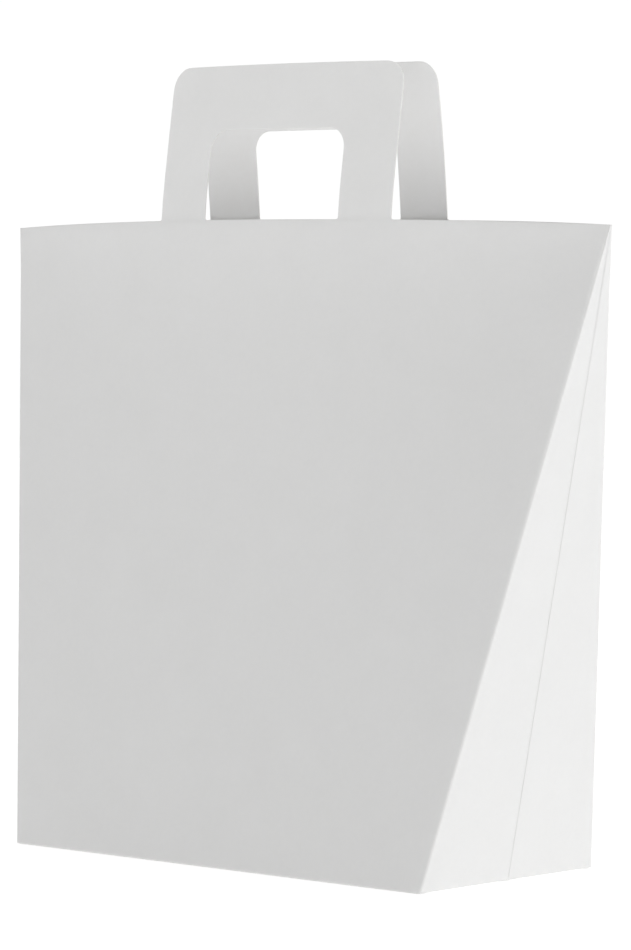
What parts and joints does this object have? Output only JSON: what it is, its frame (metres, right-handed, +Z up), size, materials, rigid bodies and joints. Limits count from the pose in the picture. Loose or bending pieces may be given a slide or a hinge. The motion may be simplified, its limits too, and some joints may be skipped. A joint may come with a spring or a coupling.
{
  "type": "gift bag",
  "caption": "Plain folded board gift bag with a flat base, creased side gussets, a closed-up mouth and two die-cut board handles.",
  "frame": {"origin": "middle of the base, on the surface that the bag stands on", "axes": "+Z up, front panel faces -Y, +X to the right as seen from the front"},
  "size_m": [0.3476, 0.1118, 0.3451],
  "materials": {
    "board": "smooth white coated board, satin",
    "board_inside": "uncoated white board, matte"
  },
  "bodies": {
    "back_panel": {"back_panel": "board", "seam_flap": "board_inside"},
    "front_panel": {"front_panel": "board"},
    "right_gusset_back": {"right_gusset_back": "board"},
    "right_gusset_front": {"right_gusset_front": "board"},
    "left_gusset_back": {"left_gusset_back": "board"},
    "left_gusset_front": {"left_gusset_front": "board"},
    "base_front_flap": {"base_front_flap": "board"},
    "base_back_flap": {"base_back_flap": "board"},
    "right_tab_back": {"right_tab_back": "board_inside"},
    "right_tab_front": {"right_tab_front": "board_inside"},
    "left_tab_back": {"left_tab_back": "board_inside"},
    "left_tab_front": {"left_tab_front": "board_inside"},
    "front_handle": {"front_handle": "board"},
    "back_handle": {"back_handle": "board"}
  },
  "joints": [
    {"name": "flat_fold", "type": "hinge", "parent": "back_panel", "child": "right_gusset_back", "pos_m": [0.11949, 0.05462, 0], "axis": [-0.1908, 0.1938, -0.9623], "range_deg": [0, 85.5]},
    {"name": "right_middle_crease", "type": "hinge", "parent": "right_gusset_back", "child": "right_gusset_front", "pos_m": [0.12, 0, 0], "axis": [0.1945, 0, 0.9809], "range_deg": [0, 175.33]},
    {"name": "right_front_crease", "type": "hinge", "parent": "right_gusset_front", "child": "front_panel", "pos_m": [0.11949, -0.05462, 0], "axis": [-0.1908, -0.1938, -0.9623], "range_deg": [0, 85.7]},
    {"name": "left_back_crease", "type": "hinge", "parent": "back_panel", "child": "left_gusset_back", "pos_m": [-0.11949, 0.05462, 0], "axis": [-0.1908, -0.1938, 0.9623], "range_deg": [0, 85.7]},
    {"name": "left_middle_crease", "type": "hinge", "parent": "left_gusset_back", "child": "left_gusset_front", "pos_m": [-0.12, 0, 0], "axis": [0.1945, 0, -0.9809], "range_deg": [0, 175.33]},
    {"name": "front_base_crease", "type": "hinge", "parent": "front_panel", "child": "base_front_flap", "pos_m": [0, -0.0555, 0.0005], "axis": [-1, 0, 0], "range_deg": [0, 101.59]},
    {"name": "back_base_crease", "type": "hinge", "parent": "back_panel", "child": "base_back_flap", "pos_m": [0, 0.0555, 0.0005], "axis": [1, 0, 0], "range_deg": [0, 102.74]},
    {"name": "right_back_tab_crease", "type": "hinge", "parent": "right_gusset_back", "child": "right_tab_back", "pos_m": [0.11956, 0, 0.0008], "axis": [0, -1, 0], "range_deg": [0, 90.98]},
    {"name": "right_front_tab_crease", "type": "hinge", "parent": "right_gusset_front", "child": "right_tab_front", "pos_m": [0.11956, 0, 0.0008], "axis": [0, -1, 0], "range_deg": [0, 90.98]},
    {"name": "left_back_tab_crease", "type": "hinge", "parent": "left_gusset_back", "child": "left_tab_back", "pos_m": [-0.11956, 0, 0.0008], "axis": [0, 1, 0], "range_deg": [0, 90.98]},
    {"name": "left_front_tab_crease", "type": "hinge", "parent": "left_gusset_front", "child": "left_tab_front", "pos_m": [-0.11956, 0, 0.0008], "axis": [0, 1, 0], "range_deg": [0, 90.98]},
    {"name": "front_handle_flex", "type": "hinge", "parent": "front_panel", "child": "front_handle", "pos_m": [0, -0.0185, 0.2776], "axis": [1, 0, 0], "range_deg": [-6, 50], "stiffness_Nm_per_rad": 0.05},
    {"name": "back_handle_flex", "type": "hinge", "parent": "back_panel", "child": "back_handle", "pos_m": [0, 0.0185, 0.2776], "axis": [-1, 0, 0], "range_deg": [-6, 50], "stiffness_Nm_per_rad": 0.05}
  ],
  "couplings": [
    {"joint": "right_middle_crease", "follows": "flat_fold", "ratio": 2.0483},
    {"joint": "right_front_crease", "follows": "flat_fold", "ratio": 1},
    {"joint": "left_back_crease", "follows": "flat_fold", "ratio": 1},
    {"joint": "left_middle_crease", "follows": "flat_fold", "ratio": 2.0483},
    {"joint": "front_base_crease", "follows": "flat_fold", "ratio": 1.1858},
    {"joint": "back_base_crease", "follows": "flat_fold", "ratio": 1.1993},
    {"joint": "right_back_tab_crease", "follows": "flat_fold", "ratio": 1.0618},
    {"joint": "right_front_tab_crease", "follows": "flat_fold", "ratio": 1.0618},
    {"joint": "left_back_tab_crease", "follows": "flat_fold", "ratio": 1.0618},
    {"joint": "left_front_tab_crease", "follows": "flat_fold", "ratio": 1.0618}
  ]
}
